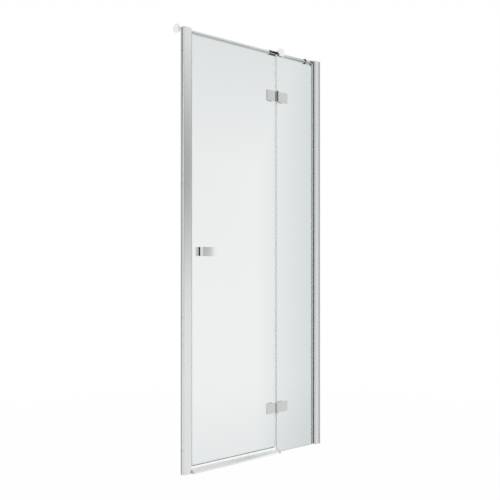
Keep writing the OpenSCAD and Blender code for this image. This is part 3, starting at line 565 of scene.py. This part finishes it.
class SHOWERDOOR_OT_glass(bpy.types.Operator):
    """Dress both panes and their polished edges"""

    bl_idname = "showerdoor.glass"
    bl_label = "Glass"

    def execute(self, context):
        tints = settings().colours
        edge = glass_edge("polished_glass_edge", tints.glass_edge)
        # The door's foot stands in its seal, where no light makes it shine
        foot = glass_edge("shaded_glass_edge", tints.glass_foot, sheen=0.0)
        dress(PANES, pane_glass(), edge, foot)
        for name in PANES:
            low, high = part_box(name)
            assign(name, 1, lambda face: self.is_edge(face, low, high))
        # The door's hinge edge is wet against its clear seal, so it hardly shows
        assign("door_glass", 0, lambda face: face.normal.x > 0.9)
        assign("door_glass", 2, lambda face: face.material_index == 1 and face.normal.z < -0.9)
        return {"FINISHED"}

    def is_edge(self, face, low, high):
        """Only the sheet's outline shows as an edge: the bores are full of their sleeves."""
        gaps = [abs(face.center[axis] - end[axis]) for axis in (0, 2) for end in (low, high)]
        return min(gaps) < TOLERANCE and abs(face.normal.y) < 0.9


class SHOWERDOOR_OT_seals(bpy.types.Operator):
    """Dress the seals, gaskets, magnets and the strip they close on"""

    bl_idname = "showerdoor.seals"
    bl_label = "Seals"

    def execute(self, context):
        tint, shade_and_marks = settings().colours, settings().shade_and_marks
        dress(CLEAR_VINYL, clear_vinyl("clear_vinyl", shade_and_marks.milk))
        # The seal between the panes is wet against the glass, so it is clearer still
        tip = moulded("soft_seal_tip", tint.seal_tip, roughness=0.4)
        dress(["hinge_side_seal"], clear_vinyl("wet_clear_vinyl", shade_and_marks.wet_milk), tip)
        tip_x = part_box("hinge_side_seal")[1][0] - TOLERANCE
        assign("hinge_side_seal", 1, lambda face: face.center.x > tip_x)
        rubber = moulded("epdm_rubber", tint.rubber, roughness=0.55, depth=2e-5)
        dress(["glazing_gasket_front", "tube_end_ring"], rubber)
        wedge = moulded("grey_wedge_rubber", tint.wedge, roughness=0.55, depth=2e-5)
        dress(["glazing_gasket_back"], wedge)
        dress(["strike_magnet", "latch_magnet"], moulded("magnet_strip", tint.magnet, roughness=0.6))
        dress(["strike_profile"], moulded("strike_pvc", tint.strike, roughness=0.3, depth=5e-6))
        return {"FINISHED"}


class SHOWERDOOR_OT_hinges(bpy.types.Operator):
    """Dress the hinge plates, pins, bushes, pads and all screws"""

    bl_idname = "showerdoor.hinges"
    bl_label = "Hinges"

    # How far the barrel's side lies from the pin at most, in metres
    barrel_reach = 0.010

    def execute(self, context):
        tint, line = settings().colours, settings().sizes.brush_line
        chrome = plated("hinge_chrome", tint.hinge, roughness=0.09, spread=0.02)
        grain = (line, line, line)
        # Brighter, rougher chrome on the barrel's side is a painted highlight
        barrel_highlight = metal("barrel_highlight_chrome", tint.chrome, grain, roughness=0.6, spread=0.05, depth=1e-6)
        dress(HINGE_METAL, chrome, barrel_highlight)
        pin_x = sum(corner[0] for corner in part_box("upper_hinge_pin")) / 2
        for name in HINGE_METAL:
            assign(name, 1, lambda face: self.is_barrel_highlight(face, pin_x))
        dress(HINGE_PADS, moulded("hinge_pad_pvc", tint.pad, roughness=0.5))
        dress(BUSHES, moulded("natural_nylon", tint.nylon, roughness=0.42, depth=6e-6))
        turned = (line, line, line * 6)
        dress(SCREWS, metal("stainless_steel", tint.steel, turned, roughness=0.28, spread=0.06, depth=1e-6))
        return {"FINISHED"}

    def is_barrel_highlight(self, face, pin_x):
        """The barrel's side next to the door plate, where brighter, rougher chrome paints a highlight."""
        return 0 < pin_x - face.center.x < self.barrel_reach and face.normal.x < -0.8


class SHOWERDOOR_OT_stabiliser(bpy.types.Operator):
    """Dress the tube, its sockets and rosettes and the glass clamp"""

    bl_idname = "showerdoor.stabiliser"
    bl_label = "Stabiliser"

    # Thickness of the collar in front of the tube, with some to spare, in metres
    collar_wall = 0.004

    def execute(self, context):
        tint, shade_and_marks, line = settings().colours, settings().shade_and_marks, settings().sizes.brush_line
        # The tube is drawn, so its faint lines run along X; painted shade darkens it from the clamp to the
        # wall
        tones = [(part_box("clamp_body")[1][0], tint.tube), (WALL_X, tint.tube_shade)]
        drawn = (line * 300, line, line)
        tube = metal("drawn_chrome_tube", tones, drawn, roughness=0.12, spread=0.03, depth=5e-7)
        dress(["stabiliser_tube"], tube)
        # The long socket's end at the wall is painted dark, a painted reflection
        dark_end_x = WALL_X - shade_and_marks.dark_end_reach
        dark_end = [(dark_end_x, tint.hinge), (dark_end_x + shade_and_marks.dark_end_blend, tint.dark_reflection)]
        dress(["right_tube_socket"], plated("socket_dark_end_chrome", dark_end, roughness=0.12, spread=0.03))
        cast = plated("clamp_chrome", tint.chrome, roughness=0.10, spread=0.02)
        dress(CAST_METAL, cast)
        # Only the collar round the tube is painted dark, a painted reflection; the arm and the jaws are
        # plated
        dress(["clamp_body"], plated("dark_reflection_plate", tint.dark_reflection, roughness=0.22, spread=0.04), cast)
        collar_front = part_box("stabiliser_tube")[0][1] - self.collar_wall
        assign("clamp_body", 1, lambda face: face.center.y < collar_front)
        dress(["clamp_pads"], moulded("clamp_rubber", tint.rubber, roughness=0.6))
        return {"FINISHED"}


class SHOWERDOOR_OT_handle(bpy.types.Operator):
    """Dress both pulls and the rubber between them and the glass"""

    bl_idname = "showerdoor.handle"
    bl_label = "Handle"

    def execute(self, context):
        tint = settings().colours
        # Painted shade darkens the bowed front towards its free end
        free_end, far_end = (corner[0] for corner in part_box("outer_handle"))
        tones = [(free_end, tint.pull_shade), (far_end - settings().shade_and_marks.bow_unshaded, tint.chrome)]
        bow = plated("pull_shade_chrome", tones, roughness=0.13, spread=0.03)
        dress(["outer_handle"], bow, plated("handle_chrome", tint.chrome, roughness=0.13, spread=0.03))
        assign("outer_handle", 1, lambda face: face.normal.y > -0.8)
        dress(["inner_handle"], plated("inner_handle_chrome", tint.hinge, roughness=0.13, spread=0.03))
        dress(["handle_pads", "handle_sleeves"], moulded("handle_rubber", tint.rubber, roughness=0.6))
        return {"FINISHED"}


class SHOWERDOOR_OT_studio(bpy.types.Operator):
    """Set the floor, the light from all round, the lamp and the camera"""

    bl_idname = "showerdoor.studio"
    bl_label = "Studio"

    def execute(self, context):
        studio = settings().studio
        self.floor(context, studio)
        self.room(context, studio)
        self.world(context, studio)
        self.lamp(context, studio)
        self.camera(context, studio)
        context.scene.view_settings.view_transform = "Standard"
        return {"FINISHED"}

    def place(self, context, name, shape):
        """Makes a stage object of a finished shape."""
        mesh = bpy.data.meshes.new(name)
        shape.to_mesh(mesh)
        shape.free()
        placed = bpy.data.objects.new(name, mesh)
        context.scene.collection.objects.link(placed)
        return placed

    def floor(self, context, studio):
        shape = bmesh.new()
        bmesh.ops.create_circle(shape, cap_ends=True, segments=96, radius=studio.floor)
        floor = self.place(context, "studio_floor", shape)
        floor.location.z = -studio.floor_drop
        made, tree = material("white_studio_floor")
        diffuse = add(tree, "ShaderNodeBsdfDiffuse", (0, 0), {"Color": studio.floor_tone})
        white = add(tree, "ShaderNodeEmission", (0, -200), {"Color": studio.backdrop, "Strength": 1.0})
        # Near the object a part of the floor keeps the shadow; far off it is all backdrop
        point = add(tree, "ShaderNodeTexCoord", (-800, 650))
        away = add(
            tree, "ShaderNodeVectorMath", (-600, 650), {0: point.outputs["Object"]}, operation="LENGTH"
        ).outputs["Value"]
        plain = mapped(tree, away, studio.floor_near, studio.floor_far, (-400, 650), studio.floor_plain)
        share = calculated(tree, "MULTIPLY", self.seen(tree), plain, (200, 300))
        close(tree, mixed(tree, share, diffuse.outputs["BSDF"], white.outputs["Emission"], (400, 0)))
        floor.data.materials.append(made)

    def seen(self, tree):
        """One for rays that show the backdrop: from the camera, by mirror or through glass."""
        path = add(tree, "ShaderNodeLightPath", (-600, 400)).outputs
        direct = calculated(tree, "MAXIMUM", path["Is Camera Ray"], path["Is Transmission Ray"], (-300, 400))
        return calculated(tree, "MAXIMUM", direct, path["Is Glossy Ray"], (-100, 400))

    def world(self, context, studio):
        world = bpy.data.worlds.new("studio_world")
        world.use_nodes = True
        tree = world.node_tree
        tree.nodes.clear()
        white = add(tree, "ShaderNodeBackground", (0, 0), {"Color": studio.backdrop, "Strength": 1.0})
        sky = add(tree, "ShaderNodeBackground", (0, 200), {"Color": studio.backdrop, "Strength": studio.sky})
        both = mixed(tree, self.seen(tree), sky.outputs["Background"], white.outputs["Background"], (300, 0))
        add(tree, "ShaderNodeOutputWorld", (600, 0), {"Surface": both})
        context.scene.world = world

    def room(self, context, studio):
        """A round wall that only reflections meet: dim behind the eye, with a soft band beside that."""
        radius = studio.room
        shape = bmesh.new()
        bmesh.ops.create_cone(
            shape, cap_ends=False, segments=64, radius1=radius, radius2=radius, depth=radius
        )
        room = self.place(context, "studio_room", shape)
        room.location.z = radius / 2
        made, tree = material("soft_studio_room")
        point = add(tree, "ShaderNodeNewGeometry", (-900, 0)).outputs["Position"]

        def towards(side, at):
            """Cosine of the angle between a level direction and the way to the point, near enough."""
            inputs = {0: point, 1: Vector(side) / radius}
            return add(tree, "ShaderNodeVectorMath", at, inputs, operation="DOT_PRODUCT").outputs["Value"]

        behind = towards(studio.dim_side, (-700, 100))
        dimmed = mapped(tree, behind, studio.dim_start, studio.dim_full, (-500, 100), 1.0, studio.dim)
        z = add(tree, "ShaderNodeSeparateXYZ", (-700, -150), {"Vector": point}).outputs["Z"]
        off = calculated(tree, "SUBTRACT", z, studio.band_z, (-500, -150))
        gap = calculated(tree, "ABSOLUTE", off, 0.0, (-350, -150))
        band = mapped(
            tree, gap, 0.0, studio.band_fade, (-150, -150), studio.band, 1.0, interpolation_type="SMOOTHSTEP"
        )
        # The band ends before the wall that the right profile mirrors
        beside = towards(studio.band_side, (-700, -350))
        near = mapped(tree, beside, studio.band_start, studio.band_full, (-350, -350))
        # Inputs 2 and 3 of a mix node are its two numbers
        flag = add(tree, "ShaderNodeMix", (-50, -250), {0: near, 2: 1.0, 3: band}, data_type="FLOAT")
        strength = calculated(tree, "MULTIPLY", dimmed, flag.outputs[0], (100, 0))
        glow = add(tree, "ShaderNodeEmission", (300, 0), {"Color": studio.backdrop, "Strength": strength})
        close(tree, glow.outputs["Emission"])
        room.data.materials.append(made)
        room.visible_camera = False
        room.visible_diffuse = False
        room.visible_transmission = False
        room.visible_shadow = False

    def lamp(self, context, studio):
        data = bpy.data.lights.new("key", "AREA")
        data.shape = "RECTANGLE"
        data.size, data.size_y = studio.key_width, studio.key_height
        data.energy = studio.key
        lamp = bpy.data.objects.new("key", data)
        lamp.location = studio.key_place
        aim = Vector(studio.key_aim) - lamp.location
        lamp.rotation_euler = aim.to_track_quat("-Z", "Y").to_euler()
        lamp.visible_glossy = False
        context.scene.collection.objects.link(lamp)

    def camera(self, context, studio):
        data = bpy.data.cameras.new("camera")
        data.sensor_width = 36.0
        data.lens = studio.lens
        data.shift_y = studio.rise
        data.clip_start, data.clip_end = 0.05, 120.0
        camera = bpy.data.objects.new("camera", data)
        camera.location = studio.camera
        camera.rotation_euler = (math.radians(90), 0.0, studio.heading)
        context.scene.collection.objects.link(camera)
        context.scene.camera = camera


PIECES = [
    SHOWERDOOR_OT_profiles,
    SHOWERDOOR_OT_threshold,
    SHOWERDOOR_OT_glass,
    SHOWERDOOR_OT_seals,
    SHOWERDOOR_OT_hinges,
    SHOWERDOOR_OT_stabiliser,
    SHOWERDOOR_OT_handle,
    SHOWERDOOR_OT_studio,
]


class DoorSettings(bpy.types.PropertyGroup):
    """All settings of the shower door."""

    colours: PointerProperty(type=DoorColours, name="Colours", description="Colours of the materials")
    sizes: PointerProperty(type=DoorSizes, name="Sizes", description="Sizes of the surface patterns")
    # Painted light and shade, and the milkiness of clear vinyl
    shade_and_marks: PointerProperty(type=DoorShadeAndMarks, name="Wear", description="Marks that use has left")
    studio: PointerProperty(type=DoorStudio, name="Studio", description="Light, floor and camera")


class SHOWERDOOR_PT_panel(bpy.types.Panel):
    """Lists the pieces and their settings"""

    bl_idname = "SHOWERDOOR_PT_panel"
    bl_label = "Shower Door"
    bl_space_type = "VIEW_3D"
    bl_region_type = "UI"
    bl_category = "Shower Door"

    def draw(self, context):
        column = self.layout.column()
        for operator in PIECES:
            column.operator(operator.bl_idname)
        chosen = settings()
        for group in (chosen.colours, chosen.sizes, chosen.shade_and_marks, chosen.studio):
            box = column.box()
            for name in group.__annotations__:
                box.prop(group, name)


CLASSES = [DoorColours, DoorSizes, DoorShadeAndMarks, DoorStudio, DoorSettings, *PIECES, SHOWERDOOR_PT_panel]


def register():
    for cls in CLASSES:
        bpy.utils.register_class(cls)
    bpy.types.Scene.shower_door = PointerProperty(type=DoorSettings)


def unregister():
    del bpy.types.Scene.shower_door
    for cls in reversed(CLASSES):
        bpy.utils.unregister_class(cls)


def main():
    register()
    bpy.ops.showerdoor.profiles()
    bpy.ops.showerdoor.threshold()
    bpy.ops.showerdoor.glass()
    bpy.ops.showerdoor.seals()
    bpy.ops.showerdoor.hinges()
    bpy.ops.showerdoor.stabiliser()
    bpy.ops.showerdoor.handle()
    bpy.ops.showerdoor.studio()


if __name__ == "__main__":
    main()
